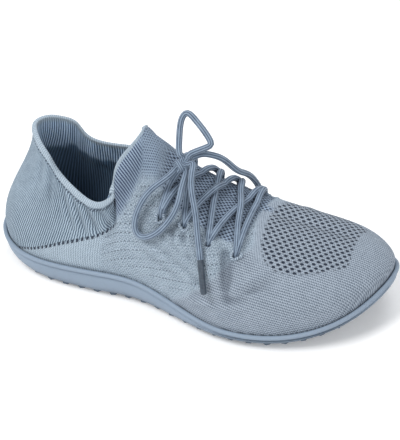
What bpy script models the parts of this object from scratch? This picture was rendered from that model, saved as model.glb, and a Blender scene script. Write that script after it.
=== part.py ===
import math

import bmesh
import bpy
import numpy as np
from mathutils import Vector

# A right shoe. +X points from heel to toe, the lateral (little toe) side is -Y, and it stands on z = 0.

# Driving sizes, in metres.
SOLE_LENGTH = 0.272
BALL_WIDTH = 0.104
LIP_HEIGHT = 0.022  # top of the sole's lip at the waist
TOE_SPRING = 0.015  # rise of the sole's lower edge at the toe
HEEL_TAB_HEIGHT = 0.100
TONGUE_HEIGHT = 0.112
COLLAR_HALF_WIDTH = 0.026
KNIT_WALL = 0.0022
LIP_WALL = 0.0028
LIP_BEAD = 0.0030
GROOVE_DEPTH = 0.0008
UNDERCUT = 0.0060
TREAD_DEPTH = 0.0026
BASE_THICKNESS = 0.0046
LUG_PITCH = 0.0115  # along the sole
LUG_SPACING = 0.0130  # across the sole
LUG_RADIUS = 0.0045
LEVEL_WITHIN = 0.0005  # a lug whose edge rises less than this stands on the floor
INSOLE_THICKNESS = 0.0030
INSOLE_MARGIN = 0.0010
GAP = 0.0003
EYELET_RADIUS = 0.0022
LACE_DIAMETER = 0.0038
LACE_CLEARANCE = 0.0014
KNOT_DIAMETER = 0.0094
AGLET_DIAMETER = 0.0040
AGLET_LENGTH = 0.0210

# Colours and roughnesses of the materials.
RUBBER = ((0.33, 0.40, 0.50), 0.55)
FOAM = ((0.20, 0.24, 0.29), 0.90)
KNIT = ((0.42, 0.51, 0.62), 0.85)
LACE = ((0.36, 0.45, 0.58), 0.70)
SHEATH = ((0.06, 0.08, 0.11), 0.35)

# How finely the shapes are cut.
STEPS_PER_ROW = 3
WALL_STEPS = 12
LINING_STEPS = 6
ACROSS_STEPS = 6
STRAND_STEPS = 9
STRAND_SIDES = 6

# One row for each station from heel to toe. The feather line is where sole and upper meet, seen from above:
# the lateral and the medial side each have their place along the sole and across the ball. Lip is the
# height of the sole's lip and rise the height of its lower edge, as shares of LIP_HEIGHT and TOE_SPRING.
STATIONS = [
    dict(along=(0.000, 0.000), across=(0.000, 0.000), lip=0.98, rise=0.36),
    dict(along=(0.045, 0.045), across=(-0.235, 0.218), lip=0.93, rise=0.22),
    dict(along=(0.130, 0.130), across=(-0.350, 0.315), lip=0.90, rise=0.05),
    dict(along=(0.216, 0.216), across=(-0.383, 0.335), lip=0.94, rise=0.00),
    dict(along=(0.298, 0.298), across=(-0.390, 0.327), lip=0.99, rise=0.00),
    dict(along=(0.372, 0.372), across=(-0.392, 0.306), lip=1.02, rise=0.06),
    dict(along=(0.444, 0.442), across=(-0.418, 0.300), lip=0.96, rise=0.05),
    dict(along=(0.536, 0.538), across=(-0.487, 0.330), lip=0.76, rise=0.00),
    dict(along=(0.633, 0.640), across=(-0.548, 0.386), lip=0.57, rise=0.00),
    dict(along=(0.731, 0.742), across=(-0.540, 0.437), lip=0.52, rise=0.00),
    dict(along=(0.822, 0.834), across=(-0.474, 0.455), lip=0.60, rise=0.13),
    dict(along=(0.902, 0.911), across=(-0.350, 0.425), lip=0.80, rise=0.42),
    dict(along=(0.965, 0.969), across=(-0.155, 0.315), lip=1.10, rise=0.76),
    dict(along=(1.000, 1.000), across=(0.115, 0.115), lip=1.34, rise=1.00),
]

# The collar's edge from the heel tab to the peak of the tongue: along the sole, across the half collar
# on the lateral and medial side, and height there as a share of the heel tab or of the tongue.
COLLAR = [
    dict(along=0.105, across=(0.17, 0.17), up=(1.00, 1.00), of_tongue=False),
    dict(along=0.122, across=(-0.23, 0.56), up=(0.99, 0.99), of_tongue=False),
    dict(along=0.148, across=(-0.50, 0.83), up=(0.95, 0.95), of_tongue=False),
    dict(along=0.177, across=(-0.67, 1.01), up=(0.89, 0.89), of_tongue=False),
    dict(along=0.202, across=(-0.73, 1.07), up=(0.787, 0.787), of_tongue=False),
    dict(along=0.249, across=(-0.93, 1.26), up=(0.718, 0.718), of_tongue=False),
    dict(along=0.315, across=(-1.14, 1.45), up=(0.697, 0.697), of_tongue=False),
    dict(along=0.353, across=(-0.95, 1.25), up=(0.675, 0.675), of_tongue=True),
    dict(along=0.357, across=(-0.72, 1.03), up=(0.765, 0.765), of_tongue=True),
    dict(along=0.398, across=(0.16, 0.16), up=(1.00, 1.00), of_tongue=True),
]

# The ridge over the instep, from the tongue's peak to the toe, one row for each of the last stations.
RIDGE = [
    dict(along=0.398, across=0.040, up=1.000),
    dict(along=0.485, across=0.055, up=0.798),
    dict(along=0.575, across=0.085, up=0.648),
    dict(along=0.665, across=0.125, up=0.533),
    dict(along=0.755, across=0.160, up=0.462),
    dict(along=0.838, across=0.180, up=0.422),
    dict(along=0.903, across=0.185, up=0.396),
    dict(along=0.936, across=0.180, up=0.382),
]

# How each station's wall climbs: arch is 0 for a collar wall and 1 for a vault over the foot,
# side and crown are the powers of the vault's curve (less than 1 is boxier), swell is in metres, and
# tilt is how much of the vault's rise is a plain slope.
CLIMB = [
    dict(arch=0.00, side=1.00, crown=1.00, swell=0.0020, tilt=0.00),
    dict(arch=0.00, side=1.00, crown=1.00, swell=0.0020, tilt=0.00),
    dict(arch=0.00, side=1.00, crown=1.00, swell=0.0022, tilt=0.00),
    dict(arch=0.00, side=1.00, crown=1.00, swell=0.0024, tilt=0.00),
    dict(arch=0.06, side=1.10, crown=1.00, swell=0.0022, tilt=0.00),
    dict(arch=0.36, side=1.25, crown=1.00, swell=0.0018, tilt=0.00),
    dict(arch=0.86, side=1.25, crown=1.00, swell=0.0014, tilt=0.00),
    dict(arch=1.00, side=1.12, crown=0.98, swell=0.0014, tilt=0.00),
    dict(arch=1.00, side=0.98, crown=0.95, swell=0.0016, tilt=0.00),
    dict(arch=1.00, side=0.86, crown=0.92, swell=0.0018, tilt=0.00),
    dict(arch=1.00, side=0.80, crown=0.88, swell=0.0018, tilt=0.00),
    dict(arch=1.00, side=0.78, crown=0.84, swell=0.0016, tilt=0.04),
    dict(arch=1.00, side=0.80, crown=0.80, swell=0.0012, tilt=0.16),
    dict(arch=1.00, side=0.82, crown=0.78, swell=0.0010, tilt=0.29),
]

# The eyelets, from the toe end to the ankle: the station and the share of the climb on each side.
EYELETS = [
    dict(station=(8.55, 8.28), climb=(0.58, 0.50)),
    dict(station=(7.85, 7.70), climb=(0.54, 0.46)),
    dict(station=(7.20, 7.24), climb=(0.54, 0.46)),
    dict(station=(6.55, 6.55), climb=(0.46, 0.40)),
]

# The knot: its station, how far from the ridge it lies and how far its middle stands off the surface.
KNOT_STATION = 6.90
KNOT_AWAY = -0.14
KNOT_LIFT = LACE_CLEARANCE + LACE_DIAMETER + 2 * GAP + KNOT_DIAMETER / 2

# The bow's cords over the upper: station, share of the climb left to the ridge (less than 0 on the lateral
# side) and lift off the surface in lace diameters. The standing loop is in lace diameters from the knot's
# middle, and the exits are the directions (forward, medial, up) in which the cords leave the knot.
LATERAL_LOOP = [
    dict(station=6.62, away=-0.300, lift=2.15),
    dict(station=6.35, away=-0.412, lift=1.85),
    dict(station=6.07, away=-0.535, lift=1.45),
    dict(station=5.86, away=-0.630, lift=1.05),
    dict(station=5.92, away=-0.700, lift=0.80),
    dict(station=6.20, away=-0.694, lift=0.80),
    dict(station=6.58, away=-0.605, lift=0.97),
    dict(station=6.86, away=-0.491, lift=1.60),
    dict(station=6.98, away=-0.395, lift=2.35),
    dict(station=6.98, away=-0.305, lift=2.60),
]
LATERAL_END = [
    dict(station=7.14, away=-0.257, lift=3.70),
    dict(station=7.40, away=-0.353, lift=2.75),
    dict(station=7.54, away=-0.429, lift=1.75),
    dict(station=7.63, away=-0.505, lift=1.10),
    dict(station=7.70, away=-0.580, lift=0.87),
]
MEDIAL_END = [
    dict(station=7.14, away=0.040, lift=4.75),
    dict(station=7.31, away=0.065, lift=5.05),
    dict(station=7.50, away=0.092, lift=4.80),
    dict(station=7.70, away=0.120, lift=4.00),
    dict(station=7.86, away=0.160, lift=2.95),
    dict(station=7.94, away=0.230, lift=2.20),
    dict(station=7.96, away=0.330, lift=2.02),
    dict(station=7.97, away=0.450, lift=2.02),
    dict(station=7.98, away=0.580, lift=2.00),
    dict(station=7.99, away=0.680, lift=1.70),
]
STANDING_LOOP = [
    dict(forward=-1.93, medial=2.87, up=3.41),
    dict(forward=-2.15, medial=4.67, up=5.15),
    dict(forward=-1.36, medial=5.46, up=6.00),
    dict(forward=0.25, medial=4.86, up=5.34),
    dict(forward=2.18, medial=3.88, up=4.07),
    dict(forward=3.57, medial=2.94, up=2.91),
    dict(forward=3.16, medial=2.21, up=2.27),
]
EXITS = dict(
    lateral_loop_start=(-0.62, -0.70, -0.35),
    lateral_loop_finish=(0.30, -0.75, -0.59),
    lateral_end=(0.88, -0.42, 0.22),
    standing_loop_start=(-0.55, 0.25, 0.80),
    standing_loop_finish=(0.50, 0.25, 0.83),
    medial_end=(0.45, 0.89, 0.05),
)

LATERAL, MEDIAL = 0, 1
LAST_ROW = len(STATIONS) - 1
LAST_COLLAR = len(COLLAR) - 1
PEAK_ROW = LAST_ROW + 1 - len(RIDGE)


def closed_spline(rows):
    """A smooth closed curve through evenly counted rows; returns a function of the row number."""
    values = np.array(rows, float)
    count = len(values)
    system = np.zeros((count, count))
    wanted = np.zeros_like(values)
    for i in range(count):
        system[i, i - 1] += 1
        system[i, i] += 4
        system[i, (i + 1) % count] += 1
        wanted[i] = 3 * (values[(i + 1) % count] - values[i - 1])
    slopes = np.linalg.solve(system, wanted)

    def at(row):
        i = int(math.floor(row)) % count
        j = (i + 1) % count
        return hermite(values[i], values[j], slopes[i], slopes[j], row - math.floor(row))

    return at


def open_spline(rows):
    """A smooth curve through evenly counted rows with free ends."""
    values = np.array(rows, float)
    count = len(values)
    system = np.zeros((count, count))
    wanted = np.zeros_like(values)
    for i in range(1, count - 1):
        system[i, i - 1 : i + 2] = (1, 4, 1)
        wanted[i] = 3 * (values[i + 1] - values[i - 1])
    system[0, :2] = (2, 1)
    wanted[0] = 3 * (values[1] - values[0])
    system[-1, -2:] = (1, 2)
    wanted[-1] = 3 * (values[-1] - values[-2])
    slopes = np.linalg.solve(system, wanted)

    def at(row):
        i = min(int(row), count - 2)
        return hermite(values[i], values[i + 1], slopes[i], slopes[i + 1], row - i)

    return at


def hermite(a, b, slope_a, slope_b, t):
    return (
        a * (2 * t**3 - 3 * t**2 + 1)
        + slope_a * (t**3 - 2 * t**2 + t)
        + b * (3 * t**2 - 2 * t**3)
        + slope_b * (t**3 - t**2)
    )


def both_sides(rows, last):
    """Rows up the lateral side and back down the medial side, as one ring: (row, side) pairs."""
    up = [(rows[i], LATERAL) for i in range(last + 1)]
    back = [(rows[i], MEDIAL) for i in range(last - 1, 0, -1)]
    return up + back


def feather_row(row, side):
    return (
        row["along"][side] * SOLE_LENGTH,
        row["across"][side] * BALL_WIDTH,
        row["lip"] * LIP_HEIGHT,
        row["rise"] * TOE_SPRING,
    )


def collar_row(row, side):
    tall = TONGUE_HEIGHT if row["of_tongue"] else HEEL_TAB_HEIGHT
    return (
        row["along"] * SOLE_LENGTH,
        row["across"][side] * COLLAR_HALF_WIDTH,
        row["up"][side] * tall,
    )


def ridge_row(row):
    return row["along"] * SOLE_LENGTH, row["across"] * BALL_WIDTH, row["up"] * TONGUE_HEIGHT


def climb_row(row):
    return row["arch"], row["side"], row["crown"], row["swell"], row["tilt"]


FEATHER = closed_spline([feather_row(r, s) for r, s in both_sides(STATIONS, LAST_ROW)])
COLLAR_EDGE = closed_spline([collar_row(r, s) for r, s in both_sides(COLLAR, LAST_COLLAR)])
RIDGE_LINE = open_spline([ridge_row(r) for r in RIDGE])
CLIMB_AT = open_spline([climb_row(r) for r in CLIMB])


def ring_row(row, side, last):
    """The place on a closed ring of both sides of a station on one side."""
    return row if side > 0 else (2 * last - row) % (2 * last)


def outline_box():
    around = np.array([FEATHER(2 * LAST_ROW * i / 400)[:2] for i in range(400)])
    return around.min(0), around.max(0)


LOW_CORNER, HIGH_CORNER = outline_box()
CENTRE = (LOW_CORNER + HIGH_CORNER) / 2


def feather(row, side, inset=0.0):
    """(x, y, lip height, lower edge height) on the sole's outline, moved in by inset.

    Side is 1 on the lateral side and -1 on the medial side.
    """
    place = ring_row(row, side, LAST_ROW)
    here = FEATHER(place)
    step = 0.02
    ahead = FEATHER((place + step) % (2 * LAST_ROW))
    behind = FEATHER((place - step) % (2 * LAST_ROW))
    run = ahead[:2] - behind[:2]
    run = run / np.linalg.norm(run)
    inward = np.array((-run[1], run[0]))
    xy = here[:2] + inward * inset - CENTRE
    return np.array((xy[0], xy[1], here[2], max(here[3], 0.0)))


def top_line(row, side):
    """The collar's edge as far as the tongue's peak, then the ridge."""
    if row < PEAK_ROW:
        point = COLLAR_EDGE(ring_row(row * LAST_COLLAR / PEAK_ROW, side, LAST_COLLAR))
    else:
        point = RIDGE_LINE(min(row, LAST_ROW) - PEAK_ROW)
    return np.array((point[0] - CENTRE[0], point[1] - CENTRE[1], point[2]))


WALL_INSET = LIP_WALL + GAP


def upper_point(row, side, climb):
    """A point on the outer face of the upper: climb runs from 0 at the lip to 1 at the top line."""
    foot = feather(row, side, WALL_INSET)
    top = top_line(row, side)
    arch, side_power, crown_power, swell, tilt = CLIMB_AT(row)
    turn = climb * math.pi / 2
    vault_in = 1 - math.cos(turn) ** side_power if climb < 1 else 1.0
    vault_up = (1 - tilt) * math.sin(turn) ** crown_power + tilt * vault_in
    wall_in = climb * climb * (3 - 2 * climb)
    wall_up = climb
    share_in = arch * vault_in + (1 - arch) * wall_in
    share_up = arch * vault_up + (1 - arch) * wall_up
    base = np.array((foot[0], foot[1], foot[2]))
    point = base + (top - base) * np.array((share_in, share_in, share_up))
    outer = feather(row, side, 0.0)[:2] - foot[:2]
    outer = outer / np.linalg.norm(outer)
    point[:2] += outer * swell * 6.75 * climb * (1 - climb) ** 2
    return point


def columns():
    """(row, side) for each column round the upper, from the heel up the lateral side and back."""
    steps = LAST_ROW * STEPS_PER_ROW
    lateral = [(i / STEPS_PER_ROW, 1) for i in range(steps + 1)]
    return lateral + [(i / STEPS_PER_ROW, -1) for i in range(steps - 1, 0, -1)]


def upper_normal(row, side, climb):
    step = 0.01
    low, high = max(climb - step, 0), min(climb + step, 1)
    up = upper_point(row, side, high) - upper_point(row, side, low)
    before, after = row - step * 4, row + step * 4
    if before < 0:
        back = upper_point(-before, -side, climb)
    else:
        back = upper_point(before, side, climb)
    if after > LAST_ROW:
        on = upper_point(2 * LAST_ROW - after, -side, climb)
    else:
        on = upper_point(after, side, climb)
    out = np.cross(on - back, up) * side
    return out / np.linalg.norm(out)


def plain_material(name, finish):
    colour, roughness = finish
    material = bpy.data.materials.new(name)
    material.use_nodes = True
    shader = material.node_tree.nodes["Principled BSDF"]
    shader.inputs["Base Color"].default_value = (*colour, 1)
    shader.inputs["Roughness"].default_value = roughness
    return material


def new_object(name, bm, finish):
    mesh = bpy.data.meshes.new(name)
    bmesh.ops.recalc_face_normals(bm, faces=bm.faces)
    bm.to_mesh(mesh)
    bm.free()
    part = bpy.data.objects.new(name, mesh)
    bpy.context.collection.objects.link(part)
    mesh.materials.append(plain_material(name, finish))
    mesh.shade_smooth()
    return part


def across_grid(bm, ring, height_of, steps=ACROSS_STEPS):
    """Fills a ring of columns with a grid: each row of it runs from a lateral to a medial vertex."""
    half = LAST_ROW * STEPS_PER_ROW
    lines = [[ring[0]]]
    for i in range(1, half):
        a, b = ring[i], ring[2 * half - i]
        line = [a]
        for j in range(1, steps):
            t = j / steps
            x, y = a.co.x + (b.co.x - a.co.x) * t, a.co.y + (b.co.y - a.co.y) * t
            z = a.co.z + (b.co.z - a.co.z) * t
            line.append(bm.verts.new((x, y, height_of(i / STEPS_PER_ROW, t, z))))
        lines.append(line + [b])
    lines.append([ring[half]])
    faces = []
    for before, after in zip(lines, lines[1:]):
        for j in range(steps):
            corners = []
            for line, n in ((before, j), (before, j + 1), (after, j + 1), (after, j)):
                vert = line[min(n, len(line) - 1)]
                if vert not in corners:
                    corners.append(vert)
            faces.append(bm.faces.new(corners))
    return faces


def skin(bm, rings):
    """Quads between rings of the same number of vertices, each ring closed."""
    count = len(rings[0])
    for low, high in zip(rings, rings[1:]):
        for i in range(count):
            j = (i + 1) % count
            corners = []
            for vert in (low[i], low[j], high[j], high[i]):
                if vert not in corners:
                    corners.append(vert)
            if len(corners) > 2:
                bm.faces.new(corners)


def ring_at(bm, inset, height):
    """A ring of vertices round the sole, moved in by inset, at the height that a function gives."""
    ring = []
    for row, side in columns():
        f = feather(row, side, inset)
        ring.append(bm.verts.new((f[0], f[1], height(f))))
    return ring


def side_profile():
    """The sole's side from its lower edge to the lip.

    Each row is the inset and either a share of the height above the edge or a drop from the lip.
    """
    return [
        (UNDERCUT, 0.0, None),
        (UNDERCUT * 0.42, 0.22, None),
        (UNDERCUT * 0.18, 0.55, None),
        (GROOVE_DEPTH * 1.6, None, LIP_BEAD * 1.45),
        (GROOVE_DEPTH * 2.0, None, LIP_BEAD * 1.05),
        (LIP_BEAD * 0.05, None, LIP_BEAD * 0.75),
        (0.0, None, LIP_BEAD * 0.42),
        (LIP_BEAD * 0.28, None, LIP_BEAD * 0.06),
        (LIP_WALL * 0.62, None, 0.0),
        (LIP_WALL, None, LIP_BEAD * 0.25),
    ]


def build_outsole():
    bm = bmesh.new()
    rings = []
    for inset, share, drop in side_profile():
        if drop is None:
            rings.append(
                ring_at(bm, inset, lambda f, s=share: f[3] + TREAD_DEPTH + (f[2] - f[3] - TREAD_DEPTH) * s)
            )
        else:
            rings.append(ring_at(bm, inset, lambda f, d=drop: f[2] - d))
    rings.append(ring_at(bm, LIP_WALL, sole_floor))
    skin(bm, rings)
    across_grid(bm, rings[-1], lambda row, t, z: z)
    across_grid(bm, rings[0], lambda row, t, z: z)
    outsole = new_object("outsole", bm, RUBBER)
    boolean(outsole, build_lugs(), "UNION")
    return outsole


def sole_floor(f):
    return f[3] + TREAD_DEPTH + BASE_THICKNESS


def lower_edge_line():
    """The outline of the sole's lower edge, and the height of that edge along x."""
    ring = np.array([feather(row, side, UNDERCUT) for row, side in columns()])
    half = ring[: LAST_ROW * STEPS_PER_ROW + 1]
    return ring[:, :2], half[:, 0], half[:, 3]


def room_inside(line, point):
    """How far a point is inside a closed line; less than nothing outside it."""
    start, end = line, np.roll(line, -1, axis=0)
    run = end - start
    share = np.clip(((point - start) * run).sum(1) / (run * run).sum(1), 0, 1)
    nearest = np.linalg.norm(start + run * share[:, None] - point, axis=1).min()
    rises = (start[:, 1] > point[1]) != (end[:, 1] > point[1])
    crossing = start[:, 0] + run[:, 0] * (point[1] - start[:, 1]) / np.where(run[:, 1] == 0, 1e-9, run[:, 1])
    inside = np.count_nonzero(rises & (point[0] < crossing)) % 2 == 1
    return nearest if inside else -nearest


def build_lugs():
    line, along, rise = lower_edge_line()
    bm = bmesh.new()
    reach = int(SOLE_LENGTH / 2 / LUG_PITCH)
    aside = int(BALL_WIDTH / 2 / LUG_SPACING) + 1
    for i in range(-reach, reach + 1):
        for j in range(-aside, aside + 1):
            centre = np.array((i * LUG_PITCH, (j + (i % 2) / 2) * LUG_SPACING))
            if room_inside(line, centre) < LUG_RADIUS + GAP:
                continue
            stands = np.interp(centre[0], along, rise) < LEVEL_WITHIN
            low, high = [], []
            for k in range(6):
                turn = math.pi * (k + 0.5) / 3
                x, y = centre[0] + LUG_RADIUS * math.cos(turn), centre[1] + LUG_RADIUS * math.sin(turn)
                edge = 0.0 if stands else max(float(np.interp(x, along, rise)), LEVEL_WITHIN)
                low.append(bm.verts.new((x, y, edge)))
                high.append(bm.verts.new((x, y, edge + TREAD_DEPTH + BASE_THICKNESS / 2)))
            bm.faces.new(low)
            bm.faces.new(high)
            skin(bm, [low, high])
    lugs = new_object("lug_shapes", bm, RUBBER)
    return hidden(lugs)


def hidden(helper):
    helper.hide_render = True
    helper.display_type = "WIRE"
    return helper


def boolean(part, helper, operation):
    modifier = part.modifiers.new(helper.name, "BOOLEAN")
    modifier.operation = operation
    modifier.object = helper
    modifier.solver = "EXACT"


def build_upper():
    bm = bmesh.new()
    ring_columns = columns()
    half = LAST_ROW * STEPS_PER_ROW
    peak = PEAK_ROW * STEPS_PER_ROW

    def level(offset, climb):
        ring = []
        for n, (row, side) in enumerate(ring_columns):
            mirrored = n > half and climb >= 1 and row >= PEAK_ROW
            if mirrored:
                ring.append(ring[2 * half - n])
                continue
            point = upper_point(row, side, climb)
            if offset:
                point = point - upper_normal(row, side, min(climb, 0.985)) * offset
            ring.append(bm.verts.new(point))
        return ring

    def foot_level(inset):
        return ring_at(bm, inset, lambda f: sole_floor(f) + GAP)

    outer = [foot_level(WALL_INSET)] + [level(0.0, i / WALL_STEPS) for i in range(WALL_STEPS + 1)]
    inner = [foot_level(WALL_INSET + KNIT_WALL)] + [
        level(KNIT_WALL, i / LINING_STEPS) for i in range(LINING_STEPS + 1)
    ]
    skin(bm, outer)
    skin(bm, inner)
    skin(bm, [outer[0], inner[0]])
    collar = list(range(peak + 1)) + list(range(2 * half - peak + 1, 2 * half))
    for i, j in zip(collar, collar[1:] + collar[:1]):
        bm.faces.new((outer[-1][i], outer[-1][j], inner[-1][j], inner[-1][i]))
    upper = new_object("upper", bm, KNIT)
    boolean(upper, build_eyelet_cutters(), "DIFFERENCE")
    return upper


def build_eyelet_cutters():
    bm = bmesh.new()
    for number in range(len(EYELETS)):
        for side in (1, -1):
            centre = on_surface(*eyelet_place(number, side), 0)
            out = Vector(on_surface(*eyelet_place(number, side), 1) - centre)
            place = out.to_track_quat("Z", "Y").to_matrix().to_4x4()
            place.translation = Vector(centre) - out * KNIT_WALL / 2
            bmesh.ops.create_cone(
                bm,
                cap_ends=True,
                segments=10,
                radius1=EYELET_RADIUS,
                radius2=EYELET_RADIUS,
                depth=KNIT_WALL * 3,
                matrix=place,
            )
    return hidden(new_object("eyelet_cutters", bm, KNIT))


def on_surface(station, away, lift):
    """A point over the upper.

    Away is the share of the climb left to the ridge, less than 0 on the lateral side.
    """
    side = 1 if away <= 0 else -1
    climb = min(1 - abs(away), 0.995)
    return upper_point(station, side, climb) + upper_normal(station, side, climb) * lift


def place_over(x, y, station, away):
    """Moves a (station, away) guess until the surface there lies under x, y."""
    step = 0.01
    for _ in range(12):
        here = on_surface(station, away, 0)
        along = (on_surface(station + step, away, 0) - here)[:2] / step
        across = (on_surface(station, away + step, 0) - here)[:2] / step
        change = np.linalg.solve(np.array((along, across)).T, np.array((x, y)) - here[:2])
        station = min(max(station + change[0] * 0.7, PEAK_ROW), LAST_ROW)
        away = min(max(away + change[1] * 0.7, -0.9), 0.9)
    return station, away


def over_the_foot(start, end, lift):
    """A strand's points above the surface between two places, straight when seen from above."""
    first, last = on_surface(*start, 0), on_surface(*end, 0)
    path = []
    for i in range(STRAND_STEPS + 1):
        t = i / STRAND_STEPS
        guess = (start[0] + (end[0] - start[0]) * t, start[1] + (end[1] - start[1]) * t)
        x, y = (first + (last - first) * t)[:2]
        path.append(on_surface(*place_over(x, y, *guess), lift))
    return path


def eyelet_place(number, side):
    eyelet = EYELETS[number]
    end = LATERAL if side > 0 else MEDIAL
    return eyelet["station"][end], -side * (1 - eyelet["climb"][end])


def knot_point():
    return on_surface(KNOT_STATION, KNOT_AWAY, KNOT_LIFT)


def add_strand(bm, path, radius, overshoot):
    """A tube with flat ends along a path, which it overshoots a little at both ends."""
    first = path[0] + (path[0] - path[1]) * overshoot
    last = path[-1] + (path[-1] - path[-2]) * overshoot
    path = [first] + path[1:-1] + [last]
    rings = []
    for i, point in enumerate(path):
        run = Vector(path[min(i + 1, len(path) - 1)]) - Vector(path[max(i - 1, 0)])
        turn = run.to_track_quat("Z", "Y")
        ring = []
        for k in range(STRAND_SIDES):
            angle = 2 * math.pi * k / STRAND_SIDES
            spoke = Vector((math.cos(angle), math.sin(angle), 0)) * radius
            ring.append(bm.verts.new(Vector(point) + turn @ spoke))
        rings.append(ring)
    skin(bm, rings)
    bm.faces.new(rings[0])
    bm.faces.new(rings[-1])


def build_lace_bars():
    """The crossings of the lace over the throat, joined to one another at the eyelets."""
    lift = LACE_DIAMETER / 2 + LACE_CLEARANCE
    strands = [over_the_foot(eyelet_place(0, 1), eyelet_place(0, -1), lift)]
    for number in range(len(EYELETS) - 1):
        for side in (1, -1):
            strands.append(over_the_foot(eyelet_place(number, side), eyelet_place(number + 1, -side), lift))
    for side in (1, -1):
        strands.append(over_the_foot(eyelet_place(len(EYELETS) - 1, side), (KNOT_STATION, KNOT_AWAY), lift))
    bars = None
    for number, strand in enumerate(strands):
        bm = bmesh.new()
        add_strand(bm, strand, LACE_DIAMETER / 2, 0.02 * number)
        if bars is None:
            bars = new_object("lace_bars", bm, LACE)
        else:
            boolean(bars, hidden(new_object(f"strand_{number}", bm, LACE)), "UNION")
    return bars


def build_insole():
    inset = WALL_INSET + KNIT_WALL + INSOLE_MARGIN
    bm = bmesh.new()
    low = ring_at(bm, inset, lambda f: sole_floor(f) + GAP)
    high = ring_at(bm, inset, lambda f: sole_floor(f) + GAP + INSOLE_THICKNESS)
    skin(bm, [low, high])
    across_grid(bm, low, lambda row, t, z: z)
    across_grid(bm, high, lambda row, t, z: z)
    return new_object("insole", bm, FOAM)


def knot_place(offset):
    return knot_point() + np.array(offset) * LACE_DIAMETER


def leave_knot(exit_name):
    """Where a cord starts just off the knot's surface, and a second point straight out from there."""
    way = np.array(EXITS[exit_name])
    way = way / np.linalg.norm(way)
    start = knot_point() + way * (KNOT_DIAMETER / 2 + GAP)
    return [start, start + way * LACE_DIAMETER * 0.8]


def run_over_upper(rows):
    return [on_surface(row["station"], row["away"], row["lift"] * LACE_DIAMETER) for row in rows]


def smooth_path(points, spacing):
    """Evenly spaced points on a smooth curve through the given ones."""
    curve = open_spline(points)
    fine = np.array([curve(t) for t in np.linspace(0, len(points) - 1, 24 * len(points))])
    length = np.concatenate(([0], np.cumsum(np.linalg.norm(np.diff(fine, axis=0), axis=1))))
    wanted = np.linspace(0, length[-1], max(2, round(length[-1] / spacing) + 1))
    return np.stack([np.interp(wanted, length, fine[:, k]) for k in range(3)], axis=1)


def loop_path(name, middle, spacing):
    start, second = leave_knot(name + "_start")
    finish, last = leave_knot(name + "_finish")
    return np.array([start, *smooth_path([second] + middle + [last], spacing), finish])


def cord(name, points, diameter, finish):
    curve = bpy.data.curves.new(name, "CURVE")
    curve.dimensions = "3D"
    curve.bevel_depth = diameter / 2
    curve.bevel_resolution = 2
    curve.use_fill_caps = True
    spline = curve.splines.new("POLY")
    spline.points.add(len(points) - 1)
    for place, point in zip(spline.points, points):
        place.co = (*point, 1)
    part = bpy.data.objects.new(name, curve)
    bpy.context.collection.objects.link(part)
    curve.materials.append(plain_material(name, finish))
    return part


def build_knot():
    bm = bmesh.new()
    bmesh.ops.create_uvsphere(bm, u_segments=12, v_segments=8, radius=KNOT_DIAMETER / 2)
    bmesh.ops.translate(bm, vec=Vector(knot_point()), verts=bm.verts)
    return new_object("lace_knot", bm, LACE)


def build_bow():
    spacing = LACE_DIAMETER * 2
    middle = run_over_upper(LATERAL_LOOP)
    cord("lace_loop_lateral", loop_path("lateral_loop", middle, spacing), LACE_DIAMETER, LACE)
    middle = [knot_place((row["forward"], row["medial"], row["up"])) for row in STANDING_LOOP]
    cord("lace_loop_standing", loop_path("standing_loop", middle, spacing), LACE_DIAMETER, LACE)
    for side, rows in (("lateral", LATERAL_END), ("medial", MEDIAL_END)):
        start, second = leave_knot(side + "_end")
        path = np.array([start, *smooth_path([second] + run_over_upper(rows), spacing)])
        cord(f"lace_end_{side}", path, LACE_DIAMETER, LACE)
        run = path[-1] - path[-2]
        run = run / np.linalg.norm(run)
        tip = path[-1] + run * GAP
        aglet = [tip, tip + run * AGLET_LENGTH / 2, tip + run * AGLET_LENGTH]
        cord(f"aglet_{side}", aglet, AGLET_DIAMETER, SHEATH)


def clear_scene():
    for thing in list(bpy.data.objects):
        bpy.data.objects.remove(thing)


def main():
    clear_scene()
    build_outsole()
    build_insole()
    build_upper()
    build_lace_bars()
    build_knot()
    build_bow()


main()
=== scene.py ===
import math

import bmesh
import bpy
import numpy as np
from mathutils import Matrix, Vector


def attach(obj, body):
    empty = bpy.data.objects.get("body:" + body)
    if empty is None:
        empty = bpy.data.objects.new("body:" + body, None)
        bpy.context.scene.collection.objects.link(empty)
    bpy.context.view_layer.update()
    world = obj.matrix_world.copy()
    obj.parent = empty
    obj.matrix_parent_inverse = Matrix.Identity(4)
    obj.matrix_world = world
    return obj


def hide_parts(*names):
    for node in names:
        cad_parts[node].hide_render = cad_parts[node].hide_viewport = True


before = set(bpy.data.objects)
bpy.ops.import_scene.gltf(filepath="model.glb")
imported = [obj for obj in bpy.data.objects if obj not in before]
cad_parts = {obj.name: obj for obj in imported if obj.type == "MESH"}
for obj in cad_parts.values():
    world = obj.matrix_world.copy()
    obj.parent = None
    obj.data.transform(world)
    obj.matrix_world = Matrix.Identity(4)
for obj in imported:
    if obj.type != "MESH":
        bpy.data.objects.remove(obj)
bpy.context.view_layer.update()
print("frame loaded:", len(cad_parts), "nodes")

# a right shoe: +X runs from heel to toe, the lateral (little toe) side is -Y, the floor is z = 0

shoe = {
    "soleLength": 0.272,
    "ballWidth": 0.104,
    "lipHeight": 0.022,
    "toeSpring": 0.015,
    "heelTabHeight": 0.100,
    "tongueHeight": 0.112,
    "collarHalfWidth": 0.026,
    "knitWall": 0.0022,
    "lipWall": 0.0028,
    "lipBead": 0.0030,
    "grooveDepth": 0.0008,
    "undercut": 0.0060,
    "treadDepth": 0.0026,
    "baseThickness": 0.0046,
    "gap": 0.0003,
}

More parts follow.
